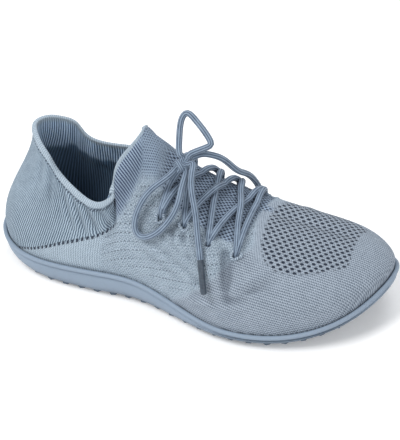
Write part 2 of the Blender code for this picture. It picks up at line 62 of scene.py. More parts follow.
# heel to toe: along and across for the lateral and the medial side, lip height, rise of the lower edge
stations = [
    (0.000, 0.000, 0.000, 0.000, 0.98, 0.36),
    (0.045, -0.235, 0.045, 0.218, 0.93, 0.22),
    (0.130, -0.350, 0.130, 0.315, 0.90, 0.05),
    (0.216, -0.383, 0.216, 0.335, 0.94, 0.00),
    (0.298, -0.390, 0.298, 0.327, 0.99, 0.00),
    (0.372, -0.392, 0.372, 0.306, 1.02, 0.06),
    (0.444, -0.418, 0.442, 0.300, 0.96, 0.05),
    (0.536, -0.487, 0.538, 0.330, 0.76, 0.00),
    (0.633, -0.548, 0.640, 0.386, 0.57, 0.00),
    (0.731, -0.540, 0.742, 0.437, 0.52, 0.00),
    (0.822, -0.474, 0.834, 0.455, 0.60, 0.13),
    (0.902, -0.350, 0.911, 0.425, 0.80, 0.42),
    (0.965, -0.155, 0.969, 0.315, 1.10, 0.76),
    (1.000, 0.115, 1.000, 0.115, 1.34, 1.00),
]

# the collar's edge from the heel tab to the tongue's peak: along, across and up on each side
collarRows = [
    (0.105, 0.17, 0.17, 1.00, 1.00, "heel"),
    (0.122, -0.23, 0.56, 0.99, 0.99, "heel"),
    (0.148, -0.50, 0.83, 0.95, 0.95, "heel"),
    (0.177, -0.67, 1.01, 0.89, 0.89, "heel"),
    (0.202, -0.73, 1.07, 0.787, 0.787, "heel"),
    (0.249, -0.93, 1.26, 0.718, 0.718, "heel"),
    (0.315, -1.14, 1.45, 0.697, 0.697, "heel"),
    (0.353, -0.95, 1.25, 0.675, 0.675, "tongue"),
    (0.357, -0.72, 1.03, 0.765, 0.765, "tongue"),
    (0.398, 0.16, 0.16, 1.00, 1.00, "tongue"),
]

# the ridge over the instep, from the tongue's peak to the toe: along, across, up
ridgeRows = [
    (0.398, 0.040, 1.000),
    (0.485, 0.055, 0.798),
    (0.575, 0.085, 0.648),
    (0.665, 0.125, 0.533),
    (0.755, 0.160, 0.462),
    (0.838, 0.180, 0.422),
    (0.903, 0.185, 0.396),
    (0.936, 0.180, 0.382),
]

# how each station's wall climbs: arch, side power, crown power, swell, tilt
climbRows = [
    (0.00, 1.00, 1.00, 0.0020, 0.00),
    (0.00, 1.00, 1.00, 0.0020, 0.00),
    (0.00, 1.00, 1.00, 0.0022, 0.00),
    (0.00, 1.00, 1.00, 0.0024, 0.00),
    (0.06, 1.10, 1.00, 0.0022, 0.00),
    (0.36, 1.25, 1.00, 0.0018, 0.00),
    (0.86, 1.25, 1.00, 0.0014, 0.00),
    (1.00, 1.12, 0.98, 0.0014, 0.00),
    (1.00, 0.98, 0.95, 0.0016, 0.00),
    (1.00, 0.86, 0.92, 0.0018, 0.00),
    (1.00, 0.80, 0.88, 0.0018, 0.00),
    (1.00, 0.78, 0.84, 0.0016, 0.04),
    (1.00, 0.80, 0.80, 0.0012, 0.16),
    (1.00, 0.82, 0.78, 0.0010, 0.29),
]

lastRow = len(stations) - 1
lastCollar = len(collarRows) - 1
peakRow = lastRow + 1 - len(ridgeRows)
around = 2 * lastRow  # places round the shoe: the lateral stations, then the medial ones back to the heel


def spline(rows, closed):  # a smooth curve through evenly counted rows, as a function of the row number
    values = np.array(rows, float)
    count = len(values)
    one = np.eye(count)
    system = 4 * one + np.roll(one, 1, 0) + np.roll(one, -1, 0)
    wanted = 3 * (np.roll(values, -1, 0) - np.roll(values, 1, 0))
    if not closed:
        system[[0, -1]] = 0
        system[0, :2], system[-1, -2:] = (2, 1), (1, 2)
        wanted[0], wanted[-1] = 3 * (values[1] - values[0]), 3 * (values[-1] - values[-2])
    slopes = np.linalg.solve(system, wanted)

    def at(row):
        row = np.asarray(row, float)
        i = np.floor(row).astype(int) % count if closed else np.clip(row.astype(int), 0, count - 2)
        j = (i + 1) % count
        t = (row - np.floor(row) if closed else row - i)[..., None]
        bend = slopes[i] * (t**3 - 2 * t**2 + t) + slopes[j] * (t**3 - t**2)
        return values[i] * (2 * t**3 - 3 * t**2 + 1) + values[j] * (3 * t**2 - 2 * t**3) + bend

    return at


def bothSides(rows, place):
    return spline([place(r, 0) for r in rows] + [place(r, 1) for r in rows[-2:0:-1]], True)


def stationPlace(r, side):
    along, across = r[2 * side] * shoe["soleLength"], r[2 * side + 1] * shoe["ballWidth"]
    return along, across, r[4] * shoe["lipHeight"], r[5] * shoe["toeSpring"]


def collarPlace(r, side):
    tall = shoe["tongueHeight"] if r[5] == "tongue" else shoe["heelTabHeight"]
    return r[0] * shoe["soleLength"], r[1 + side] * shoe["collarHalfWidth"], r[3 + side] * tall


featherLine = bothSides(stations, stationPlace)
collarLine = bothSides(collarRows, collarPlace)
ridgeLine = spline(np.array(ridgeRows) * (shoe["soleLength"], shoe["ballWidth"], shoe["tongueHeight"]), False)
climbAt = spline(climbRows, False)
outline = featherLine(np.arange(400) * around / 400)[:, :2]
centre = (outline.min(0) + outline.max(0)) / 2


def feather(w, inset=0.0):  # where sole and upper meet: x, y, lip height, height of the lower edge
    w, inset = np.broadcast_arrays(np.asarray(w, float), np.asarray(inset, float))
    here = featherLine(w % around)
    run = featherLine((w + 0.02) % around)[..., :2] - featherLine((w - 0.02) % around)[..., :2]
    run = unit(run)
    inward = np.stack((-run[..., 1], run[..., 0]), -1)
    xy = here[..., :2] + inward * inset[..., None] - centre
    return np.concatenate((xy, here[..., 2:3], np.maximum(here[..., 3:], 0)), -1)


def atHeight(line, z):
    return np.stack((line[..., 0], line[..., 1], z), -1)


def stationOf(w):
    w = np.asarray(w, float) % around
    return np.minimum(w, around - w)


def topLine(w):  # the collar's edge as far as the tongue's peak, then the ridge
    w = np.asarray(w, float) % around
    row = stationOf(w)
    share = lastCollar / peakRow
    onCollar = np.where(w <= lastRow, row * share, 2 * lastCollar - row * share)
    edge = collarLine(np.where(row < peakRow, onCollar, 0) % (2 * lastCollar))
    ridge = ridgeLine(np.clip(row - peakRow, 0, lastRow - peakRow))
    return np.where((row < peakRow)[..., None], edge, ridge) - np.array((centre[0], centre[1], 0))


def upperAt(w, climb):  # the outer face of the upper: climb is 0 at the lip and 1 at the top line
    w, climb = np.broadcast_arrays(np.asarray(w, float), np.asarray(climb, float))
    foot = feather(w, shoe["lipWall"] + shoe["gap"])
    base = foot[..., :3]
    arch, sidePower, crownPower, swell, tilt = np.moveaxis(climbAt(stationOf(w)), -1, 0)
    turn = np.clip(climb, 0, 1) * math.pi / 2
    vaultIn = np.where(climb < 1, 1 - np.maximum(np.cos(turn), 0) ** sidePower, 1.0)
    vaultUp = (1 - tilt) * np.sin(turn) ** crownPower + tilt * vaultIn
    shareIn = arch * vaultIn + (1 - arch) * climb * climb * (3 - 2 * climb)
    shareUp = arch * vaultUp + (1 - arch) * climb
    point = base + (topLine(w) - base) * np.stack((shareIn, shareIn, shareUp), -1)
    outward = unit(feather(w)[..., :2] - foot[..., :2])
    point[..., :2] += outward * (swell * 6.75 * climb * (1 - climb) ** 2)[..., None]
    return point


def upperNormal(w, climb):
    w, climb = np.broadcast_arrays(np.asarray(w, float), np.asarray(climb, float))
    up = upperAt(w, np.minimum(climb + 0.01, 1)) - upperAt(w, np.maximum(climb - 0.01, 0))
    on = upperAt(w + 0.04, climb) - upperAt(w - 0.04, climb)
    return unit(np.cross(on, up))


def overUpper(station, away, lift):  # away is the share of the climb left to the ridge, below 0 on the lateral side
    station, away = np.asarray(station, float), np.asarray(away, float)
    w = np.where(away <= 0, station, around - station)
    climb = np.minimum(1 - np.abs(away), 0.995)
    return upperAt(w, climb) + upperNormal(w, climb) * np.asarray(lift, float)[..., None]


def smoothStep(low, high, value):
    t = np.clip((np.asarray(value, float) - low) / (high - low), 0, 1)
    return t * t * (3 - 2 * t)


def within(value, start, full, fading, gone):  # a soft step up and later a soft step down
    return smoothStep(start, full, value) * (1 - smoothStep(fading, gone, value))


def hump(value, middle, width):
    return np.exp(-(((np.asarray(value, float) - middle) / width) ** 2))


def unit(vectors):
    return vectors / np.linalg.norm(vectors, axis=-1, keepdims=True)


def inScene(name, data):
    item = bpy.data.objects.new(name, data)
    bpy.context.scene.collection.objects.link(item)
    return item


# camera, at the photograph's angle

view = {
    "target": (-0.0010, 0.0051, 0.0300),
    "distance": 1.19604,
    "turn": 0.43867,
    "rise": 0.67689,
    "roll": -0.08279,
    "lens": 150.1,
    "shift": (0.0232, 0.0476),
}


def makeCamera():
    turn, rise, roll = view["turn"], view["rise"], view["roll"]
    back = Vector((math.sin(turn) * math.cos(rise), -math.cos(turn) * math.cos(rise), math.sin(rise)))
    right = Vector((math.cos(turn), math.sin(turn), 0))
    up = back.cross(right)
    axes = Matrix((
        math.cos(roll) * right + math.sin(roll) * up,
        math.cos(roll) * up - math.sin(roll) * right,
        back,
    )).transposed().to_4x4()
    data = bpy.data.cameras.new("camera")
    data.lens = view["lens"]
    data.sensor_width = 36
    data.shift_x, data.shift_y = view["shift"]
    data.clip_start, data.clip_end = 0.05, 20
    camera = inScene("camera", data)
    axes.translation = Vector(view["target"]) + back * view["distance"]
    camera.matrix_world = axes
    bpy.context.scene.camera = camera


makeCamera()
print("camera placed")


# shader maths

class Wire:  # a socket that can be reckoned with
    def __init__(self, tree, socket):
        self.tree, self.socket = tree, socket

    def make(self, kind, settings=None, inputs=None, out=0):  # any node: settings first, then its sockets
        node = self.tree.nodes.new(kind)
        for key, value in (settings or {}).items():
            setattr(node, key, value)
        for slot, value in (inputs or {}).items():
            if isinstance(value, Wire):
                self.tree.links.new(value.socket, node.inputs[slot])
            else:
                node.inputs[slot].default_value = value
        return Wire(self.tree, node.outputs[out])

    def maths(self, operation, *values):
        return self.make("ShaderNodeMath", {"operation": operation}, dict(enumerate(values)))

    def __add__(self, other):
        return self.maths("ADD", self, other)

    def __sub__(self, other):
        return self.maths("SUBTRACT", self, other)

    def __rsub__(self, other):
        return self.maths("SUBTRACT", other, self)

    def __mul__(self, other):
        return self.maths("MULTIPLY", self, other)

    __radd__, __rmul__ = __add__, __mul__

    def wave(self, pitch):  # from 0 to 1 and back in each pitch
        return self.maths("SINE", self * (2 * math.pi / pitch)) * 0.5 + 0.5

    def inCell(self, pitch):  # distance from the middle of each cell
        return self.maths("PINGPONG", self + pitch / 2, pitch / 2)

    def size(self):
        return self.maths("ABSOLUTE", self)

    def most(self, *others):
        wire = self
        for other in others:
            wire = self.maths("MAXIMUM", wire, other)
        return wire

    def between(self, low, high):  # a soft step up from low to high
        settings = {"interpolation_type": "SMOOTHSTEP"}
        return self.make("ShaderNodeMapRange", settings, {"Value": self, "From Min": low, "From Max": high})

    def mixed(self, a, b):  # a where this is 0, b where it is 1
        return self.make("ShaderNodeMix", {"data_type": "RGBA"}, {0: self, 6: a, 7: b}, out=2)

    def blend(self, a, b):  # the same for numbers
        return self.make("ShaderNodeMix", {"data_type": "FLOAT"}, {0: self, 2: a, 3: b})

    def noise(self, scale, detail=2.0):
        return self.make("ShaderNodeTexNoise", None, {"Vector": self, "Scale": scale, "Detail": detail})

    def parts(self):  # x, y and z
        split = self.make("ShaderNodeSeparateXYZ", None, {0: self})
        return [Wire(self.tree, out) for out in split.socket.node.outputs]


def tint(*levels):  # an sRGB colour out of 255, as Blender's sockets want it
    return (*[((level / 255 + 0.055) / 1.055) ** 2.4 for level in levels], 1.0)


class Finish:  # one material and the wires that feed it
    def __init__(self, name, constants):
        self.material = bpy.data.materials.new(name)
        self.material.use_nodes = True
        self.tree = self.material.node_tree
        self.shader = self.tree.nodes["Principled BSDF"]
        for key, value in constants.items():
            self.shader.inputs[key].default_value = value
        self.start = Wire(self.tree, None)

    def uv(self, name):
        return self.start.make("ShaderNodeUVMap", {"uv_map": name}).parts()[:2]

    def mark(self, name):
        return self.start.make("ShaderNodeAttribute", {"attribute_name": name}, out=2)

    def place(self):
        return self.start.make("ShaderNodeTexCoord", out=3)

    def feed(self, socket, wire):
        self.tree.links.new(wire.socket, self.shader.inputs[socket])

    def bump(self, height, distance, strength=1.0):
        inputs = {"Strength": strength, "Distance": distance, "Height": height}
        self.feed("Normal", self.start.make("ShaderNodeBump", None, inputs))


# meshes bent from a plain grid

def bentGrid(name, points, maps=None, marks=None, drop=None):
    # points is rows x columns x 3, maps are rows x columns x 2, marks and drop rows x columns
    rows, columns = points.shape[:2]
    bm = bmesh.new()
    bmesh.ops.create_grid(bm, x_segments=columns - 1, y_segments=rows - 1, size=0.5)
    mesh = bpy.data.meshes.new(name)
    bm.to_mesh(mesh)
    bm.free()
    flat = np.empty(len(mesh.vertices) * 3)
    mesh.vertices.foreach_get("co", flat)
    column = np.rint((flat[0::3] + 0.5) * (columns - 1)).astype(int)
    row = np.rint((flat[1::3] + 0.5) * (rows - 1)).astype(int)
    mesh.vertices.foreach_set("co", points[row, column].astype(np.float32).ravel())
    corners = np.empty(len(mesh.loops), int)
    mesh.loops.foreach_get("vertex_index", corners)
    for title, values in (maps or {}).items():
        layer = mesh.uv_layers.new(name=title)
        layer.data.foreach_set("uv", values[row[corners], column[corners]].astype(np.float32).ravel())
    for title, values in (marks or {}).items():
        attribute = mesh.attributes.new(title, "FLOAT", "POINT")
        attribute.data.foreach_set("value", values[row, column].astype(np.float32))
    bm = bmesh.new()
    bm.from_mesh(mesh)
    if drop is not None:
        bm.verts.ensure_lookup_table()
        gone = [f for f in bm.faces if all(drop[row[v.index], column[v.index]] for v in f.verts)]
        bmesh.ops.delete(bm, geom=gone, context="FACES_ONLY")
    bmesh.ops.remove_doubles(bm, verts=bm.verts, dist=2e-6)
    bmesh.ops.dissolve_degenerate(bm, dist=1e-7, edges=bm.edges)
    bmesh.ops.recalc_face_normals(bm, faces=bm.faces)
    bm.to_mesh(mesh)
    bm.free()
    mesh.shade_smooth()
    return inScene(name, mesh)


def settle(piece, finish, slot, *nodes):
    piece.data.materials.clear()
    piece.data.materials.append(finish)
    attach(piece, "root")
    if nodes:
        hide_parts(*nodes)
    return piece


def joined(name, pieces):
    bpy.ops.object.select_all(action="DESELECT")
    for other in pieces:
        other.select_set(True)
    bpy.context.view_layer.objects.active = pieces[0]
    bpy.ops.object.join()
    pieces[0].select_set(False)
    pieces[0].name = pieces[0].data.name = name
    return pieces[0]


def arcLength(path):
    return np.concatenate(([0], np.cumsum(np.linalg.norm(np.diff(path, axis=0), axis=1))))


def resampled(path, count):
    length = arcLength(path)
    wanted = np.linspace(0, length[-1], count)
    return np.stack([np.interp(wanted, length, path[:, k]) for k in range(3)], axis=1)


def smoothPath(points, spacing):
    curve = spline(points, False)
    fine = curve(np.linspace(0, len(points) - 1, 24 * len(points)))
    return resampled(fine, max(2, round(arcLength(fine)[-1] / spacing) + 1))


def tube(name, path, radius, sides=14):  # with rounded ends; its radius may vary along the path
    path = np.asarray(path, float)
    run = unit(np.gradient(path, axis=0))
    side = np.cross(run[0], (0, 0, 1) if abs(run[0][2]) < 0.9 else (1, 0, 0))
    across = []
    for way in run:  # the cross direction is carried along without twisting
        side = unit(side - way * side.dot(way))
        across.append(side)
    across = np.array(across)
    up = np.cross(run, across)
    radii = np.broadcast_to(np.asarray(radius, float), len(path))
    capRings = 4
    capTurn = np.linspace(0, math.pi / 2, capRings + 1)[:-1]
    capSize, capDepth = np.sin(capTurn), 0.55 * np.cos(capTurn)[:, None]
    middles = np.concatenate((
        path[0] - run[0] * radii[0] * capDepth, path, path[-1] + run[-1] * radii[-1] * capDepth[::-1],
    ))
    wide = np.concatenate((radii[0] * capSize, radii, radii[-1] * capSize[::-1]))
    across, up = (np.pad(axes, ((capRings, capRings), (0, 0)), "edge") for axes in (across, up))
    angle = np.linspace(0, 2 * math.pi, sides + 1)
    ring = across[:, None] * np.cos(angle)[:, None] + up[:, None] * np.sin(angle)[:, None]
    points = middles[:, None] + ring * wide[:, None, None]
    onward = np.pad(arcLength(path), capRings, "edge")[:, None] * 1000
    lay = np.stack(np.broadcast_arrays(angle / (2 * math.pi), onward), -1)
    return bentGrid(name, points, {"lay": lay})


# laces: the bow's loops and ends, the knot and the crossings

lace = {
    "diameter": 0.0038,
    "clearance": 0.0014,
    "knotDiameter": 0.0094,
    "knotStation": 6.90,
    "knotAway": -0.14,
    "agletDiameter": 0.0040,
    "agletLength": 0.0210,
    "colour": tint(146, 164, 184),
    "shade": tint(46, 62, 86),
    "fluff": 1.09,
    "bowStep": 0.0016,
    "crossingStep": 0.0014,
    # how deep and over what length a crossing dips into its eyelet, and how far the throat is pressed in
    "dipDepth": 0.0046,
    "dipLength": 0.0042,
    "throatDepth": 0.0009,
}
# over the upper: station, share of the climb left to the ridge, lift in lace diameters
lateralLoop = [
    (6.62, -0.300, 2.15), (6.35, -0.412, 1.85), (6.07, -0.535, 1.45), (5.86, -0.630, 1.05), (5.92, -0.700, 0.80),
    (6.20, -0.694, 0.80), (6.58, -0.605, 0.97), (6.86, -0.491, 1.60), (6.98, -0.395, 2.35), (6.98, -0.305, 2.60),
]
lateralEnd = [
    (7.14, -0.257, 3.70), (7.40, -0.353, 2.75), (7.54, -0.429, 1.75), (7.63, -0.505, 1.10), (7.70, -0.580, 0.87),
]
medialEnd = [
    (7.14, 0.040, 4.75), (7.31, 0.065, 5.05), (7.50, 0.092, 4.80), (7.70, 0.120, 4.00), (7.86, 0.160, 2.95),
    (7.94, 0.230, 2.20), (7.96, 0.330, 2.02), (7.97, 0.450, 2.02), (7.98, 0.580, 2.00), (7.99, 0.680, 1.70),
]
# in lace diameters from the knot's middle: forward, medial, up
standingLoop = [
    (-1.93, 2.87, 3.41), (-2.15, 4.67, 5.15), (-1.36, 5.46, 6.00), (0.25, 4.86, 5.34), (2.18, 3.88, 4.07),
    (3.57, 2.94, 2.91), (3.16, 2.21, 2.27),
]
# the directions in which the cords leave the knot
exits = {
    "lateralLoopStart": (-0.62, -0.70, -0.35),
    "lateralLoopFinish": (0.30, -0.75, -0.59),
    "lateralEnd": (0.88, -0.42, 0.22),
    "standingLoopStart": (-0.55, 0.25, 0.80),
    "standingLoopFinish": (0.50, 0.25, 0.83),
    "medialEnd": (0.45, 0.89, 0.05),
}
# each eyelet's station and climb on the lateral and the medial side, from the toe end to the ankle
eyelets = [
    ((8.55, 0.58), (8.28, 0.50)),
    ((7.85, 0.54), (7.70, 0.46)),
    ((7.20, 0.54), (7.24, 0.46)),
    ((6.55, 0.46), (6.55, 0.40)),
]

knotLift = lace["clearance"] + lace["diameter"] + 2 * shoe["gap"] + lace["knotDiameter"] / 2
knotPoint = overUpper(lace["knotStation"], lace["knotAway"], knotLift)


def laceFinish():
    finish = Finish("braided lace", {"Roughness": 0.72, "Sheen Weight": 0.15, "Specular IOR Level": 0.3})
    turn, onward = finish.uv("lay")
    herring = (turn * 16 + onward * 0.9).wave(1.0) * (turn * 16 - onward * 0.9).wave(1.0)
    height = (turn * 8).wave(1.0) * 0.65 + herring * 0.35
    shade = height * 0.75 + finish.place().noise(220, 3.0) * 0.35
    finish.feed("Base Color", shade.between(0.05, 0.80).mixed(lace["shade"], lace["colour"]))
    finish.bump(height, 0.00035, 0.8)
    return finish.material


def leaveKnot(name):
    way = unit(np.array(exits[name]))
    start = knotPoint + way * (lace["knotDiameter"] / 2 + shoe["gap"])
    return start, start + way * lace["diameter"] * 0.8, way


def overRows(rows):
    rows = np.array(rows)
    return overUpper(rows[:, 0], rows[:, 1], rows[:, 2] * lace["diameter"])


def cordRoute(middle, startName, finishName=None):
    points = [*leaveKnot(startName)[:2], *middle]
    if finishName:
        points += leaveKnot(finishName)[1::-1]
    return smoothPath(points, lace["bowStep"])


laceMaterial = laceFinish()


def makeAglet(name, node, route, finish):
    run = unit(route[-1] - route[-2])
    tip = route[-1] + run * shoe["gap"]
    steps = np.linspace(0, 1, 24)
    pinch = 1 - 0.10 * hump(steps, 0.06, 0.03) - 0.06 * smoothStep(0.93, 1.0, steps)
    path = tip + run * (steps[:, None] * lace["agletLength"])
    aglet = tube(name, path, lace["agletDiameter"] / 2 * pinch, sides=20)
    return settle(aglet, finish, "aglet", node)


def makeBow():
    standing = np.array(standingLoop) * lace["diameter"] + knotPoint
    sheath = agletFinish()
    for kind, side, route in (
        ("Loop", "Lateral", cordRoute(overRows(lateralLoop), "lateralLoopStart", "lateralLoopFinish")),
        ("Loop", "Standing", cordRoute(standing, "standingLoopStart", "standingLoopFinish")),
        ("End", "Lateral", cordRoute(overRows(lateralEnd), "lateralEnd")),
        ("End", "Medial", cordRoute(overRows(medialEnd), "medialEnd")),
    ):
        name = "lace" + kind + side
        cord = tube(name, route, lace["diameter"] / 2 * lace["fluff"])
        settle(cord, laceMaterial, "lace_cord", "_".join(("lace", kind.lower(), side.lower())))
        goesBack = kind == "Loop"
        tips = [] if goesBack else [makeAglet("aglet" + side, "aglet_" + side.lower(), route, sheath)]


def agletFinish():
    finish = Finish("lace sheath", {"Specular IOR Level": 0.5})
    rings = finish.uv("lay")[1].wave(0.9)
    cloud = finish.place().noise(300, 3.0)
    tone = (cloud * 0.7 + rings * 0.3).between(0.2, 0.8)
    finish.feed("Base Color", tone.mixed(tint(42, 53, 66), tint(74, 86, 99)))
    finish.feed("Roughness", cloud * 0.25 + 0.32)
    finish.bump(rings * 0.3 + cloud * 0.7, 0.00012, 0.5)
    return finish.material


def eyeletPlaces():  # the number, place round the shoe and climb of every eyelet
    for number, (lateral, medial) in enumerate(eyelets):
        yield number, lateral[0], lateral[1]
        yield number, around - medial[0], medial[1]


def makeEyeletLoops():  # the knit bunches up in a loose ring round each eyelet
    turn = np.linspace(0, 2 * math.pi, 33)[:, None]
    rings = []
    for number, w, climb in eyeletPlaces():
        middle, normal = upperAt(w, climb), upperNormal(w, climb)
        forward = unit(upperAt(w + 0.05, climb) - middle)
        upward = np.cross(normal, forward)
        uneven = 1 + 0.14 * np.sin(2 * turn + number) + 0.08 * np.sin(3 * turn + 2 * number)
        ring = (forward * np.cos(turn) * 0.0029 + upward * np.sin(turn) * 0.0032) * uneven
        path = middle + ring + normal * (0.0005 + 0.0003 * np.sin(turn * 5 + number))
        rings.append(tube("loop", path, 0.00105 * (1 + 0.18 * np.sin(turn[:, 0] * 6)), sides=10))
    finish = Finish("eyelet knit", {"Roughness": 0.88, "Specular IOR Level": 0.2})
    turned, onward = finish.uv("lay")
    threads = (onward + turned * 2).wave(1.1)
    fuzz = finish.place().noise(900, 2.0)
    tone = (threads * 0.6 + fuzz * 0.5).between(0.2, 0.95)
    finish.feed("Base Color", tone.mixed(tint(104, 120, 138), tint(184, 198, 211)))
    finish.bump(threads * 0.6 + fuzz * 0.6, 0.0003, 0.8)
    settle(joined("eyeletLoops", rings), finish.material, "upper_knit")


def knotTurn(axis, middle, wide, narrow, rise, lift, radius):  # one turn of lace round an axis
    turn = np.linspace(0, 2 * math.pi, 61)
    axes = np.array(Vector(axis).normalized().to_track_quat("Z", "Y").to_matrix())
    flat = np.stack((np.cos(turn) * wide, np.sin(turn) * narrow, np.sin(2 * turn) * rise + lift), -1)
    return tube("turn", flat @ axes.T + middle, radius)


def makeKnot():
    radius = lace["diameter"] / 2
    pieces = []
    for name in exits:  # the cords go on to the knot's middle
        start, _, way = leaveKnot(name)
        stub = np.array((start + way * 0.0004, knotPoint + way * 0.0008))
        pieces.append(tube("stub", resampled(stub, 6), radius * 0.98))
    # one wrap round the knot, a second, looser one under it, and a turn over the start of the lateral loop
    over = unit(np.array(exits["lateralLoopStart"]))
    for turn in (
        ((0.55, -0.35, 0.75), knotPoint, 0.0031, 0.00279, 0.0005, 0.0004, radius * 0.92),
        ((-0.25, -0.9, 0.35), knotPoint, 0.0029, 0.00261, 0.0005, -0.0010, radius * 0.92),
        (over + (0.25, 0.1, 0.35), knotPoint + over * 0.0046, 0.0031, 0.0027, 0.0004, 0.0, radius * 0.95),
    ):
        pieces.append(knotTurn(*turn))
    settle(joined("laceKnot", pieces), laceMaterial, "lace_cord", "lace_knot")


def placeOver(x, y, station, away):  # moves (station, away) guesses until the surface there lies under x, y
    step, share = 0.01, 0.7
    for _ in range(14):
        here = overUpper(station, away, 0)
        along = (overUpper(station + step, away, 0) - here) / step
        across = (overUpper(station, away + step, 0) - here) / step
        dx, dy = x - here[..., 0], y - here[..., 1]
        det = along[..., 0] * across[..., 1] - along[..., 1] * across[..., 0]
        station = station + share * (dx * across[..., 1] - dy * across[..., 0]) / det
        away = away + share * (dy * along[..., 0] - dx * along[..., 1]) / det
        station, away = np.clip(station, peakRow, lastRow), np.clip(away, -0.9, 0.9)
    return station, away


def strand(start, end, over, toKnot=False):
    t = np.linspace(0, 1, 61)
    first, last = overUpper(*start, 0.0), overUpper(*end, 0.0)
    x, y = (first + (last - first) * t[:, None]).T[:2]
    station, away = placeOver(x, y, *(a + (b - a) * t for a, b in zip(start, end)))
    radius = lace["diameter"] / 2
    dip = lace["dipLength"] / np.linalg.norm(last - first)
    lift = radius + shoe["gap"] + hump(t, 0.5, 0.16) * lace["diameter"] * (0.70 if over else -0.12)
    lift -= lace["throatDepth"] * within(t, 0.12, 0.30, 0.70, 0.88)
    lift -= lace["dipDepth"] * (1 - smoothStep(0, dip, t))
    if toKnot:
        lift += smoothStep(0.55, 1, t) * (knotLift - radius - 0.0018)
    else:
        lift -= lace["dipDepth"] * smoothStep(1 - dip, 1, t)
    return smoothPath(overUpper(station, away, lift)[::2], lace["crossingStep"])


def makeCrossings():
    def eyelet(number, side):
        station, climb = eyelets[number][0 if side > 0 else 1]
        return station, -side * (1 - climb)

    routes = [strand(eyelet(0, 1), eyelet(0, -1), False)]
    for number in range(3):
        for side in (1, -1):
            over = (side > 0) == (number % 2 == 0)
            routes.append(strand(eyelet(number, side), eyelet(number + 1, -side), over))
    for side in (1, -1):
        routes.append(strand(eyelet(3, side), (lace["knotStation"], lace["knotAway"]), False, toKnot=True))
    bars = joined("laceCrossings", [tube("strand", r, lace["diameter"] / 2 * lace["fluff"]) for r in routes])
    settle(bars, laceMaterial, "lace_cord", "lace_bars")


makeBow()
makeKnot()
makeCrossings()
makeEyeletLoops()
print("laces done")


# the knitted upper: one closed shell of wall, rolled collar and lining

knit = {
    "columns": 26 * 22,
    "outerRows": 66,
    "rimRows": 10,
    "innerRows": 22,
    # each zone's dark and light tone: painted shade in the relief's grooves and painted light on its crests, over the
    # yarn's own flecks; the band's and the dots' dark tones are set deeper, as painted shade along the tongue's side
    "heel": (tint(76, 94, 111), tint(170, 188, 204)),
    "low": (tint(128, 145, 160), tint(184, 200, 214)),
    "middle": (tint(98, 115, 131), tint(182, 197, 211)),
    "fore": (tint(96, 108, 123), tint(172, 184, 198)),
    "mesh": (tint(62, 78, 102), tint(154, 172, 194)),
    "dots": (tint(44, 60, 84), tint(142, 159, 179)),
    "band": (tint(44, 60, 88), tint(152, 170, 192)),
    "lining": (tint(66, 92, 130), tint(206, 232, 255)),
    "deep": (tint(66, 88, 110), tint(104, 134, 164)),
    "rim": (tint(134, 150, 165), tint(182, 196, 208)),
    # painted shade: the dark put into holes, slots, eyelets, the seam's dip and folds
    "hole": tint(38, 48, 66),
    "heelRib": 2.0,
    "fineRib": 1.7,
    # how far the tongue's edge curls back, and how much of that on the medial side
    "curl": 0.0046,
    "medialCurl": 0.25,
    # the throat's edge lies lower on the medial side by this share of the climb
    "medialThroat": 0.08,
}
# edges of the knit's zones, as (station, climb)
heelSeam = [
    (0, -0.30), (1.5, 0.0), (2.05, 0.09), (2.53, 0.19), (2.98, 0.29), (3.43, 0.39), (3.8, 0.49), (4.2, 0.55),
    (4.73, 0.57), (13, 0.57),
]
throatEdge = [
    (6.0, 0.72), (6.4, 0.64), (6.8, 0.61), (7.3, 0.61), (7.9, 0.62), (8.35, 0.64), (8.6, 0.68), (8.75, 0.76),
    (8.88, 0.88), (9.0, 1.02),
]
foreEdge = [(6.6, -0.03), (7.2, 0.10), (7.7, 0.24), (8.1, 0.38), (8.42, 0.52), (8.7, 0.62), (9.0, 0.70)]
holeFoot = [
    (9.1, 0.72), (9.25, 0.62), (9.47, 0.57), (10.0, 0.57), (10.5, 0.60), (10.95, 0.64), (11.45, 0.66), (13, 0.70),
]
holeBack = [(0.57, 9.40), (0.66, 9.12), (0.84, 9.16), (1.0, 9.24)]
holeFront = [(0.57, 11.2), (0.66, 11.45), (0.84, 11.62), (1.0, 11.76)]
ribFront = [(0.0, 4.75), (0.56, 4.75), (0.65, 4.95), (0.84, 5.0), (1.0, 5.0)]
tongueBand = [(0.40, 5.1), (0.50, 5.45), (0.56, 5.75), (0.69, 6.0), (0.84, 5.95), (0.95, 5.85), (1.0, 5.8)]
tongueFoot = [(4.7, 0.76), (5.0, 0.62), (5.4, 0.56), (6.0, 0.57), (6.5, 0.65), (7.2, 0.76)]
pinchedRidge = [(8.1, 0.27), (8.6, 0.35), (9.05, 0.47), (9.5, 0.56)]
nip = [(6.55, 0.40), (7.15, 0.53)]
shadedBand = [(5.2, 0.80), (5.5, 0.72), (5.9, 0.70), (6.3, 0.70)]


def along(edge, value):
    return np.interp(value, *np.transpose(edge))


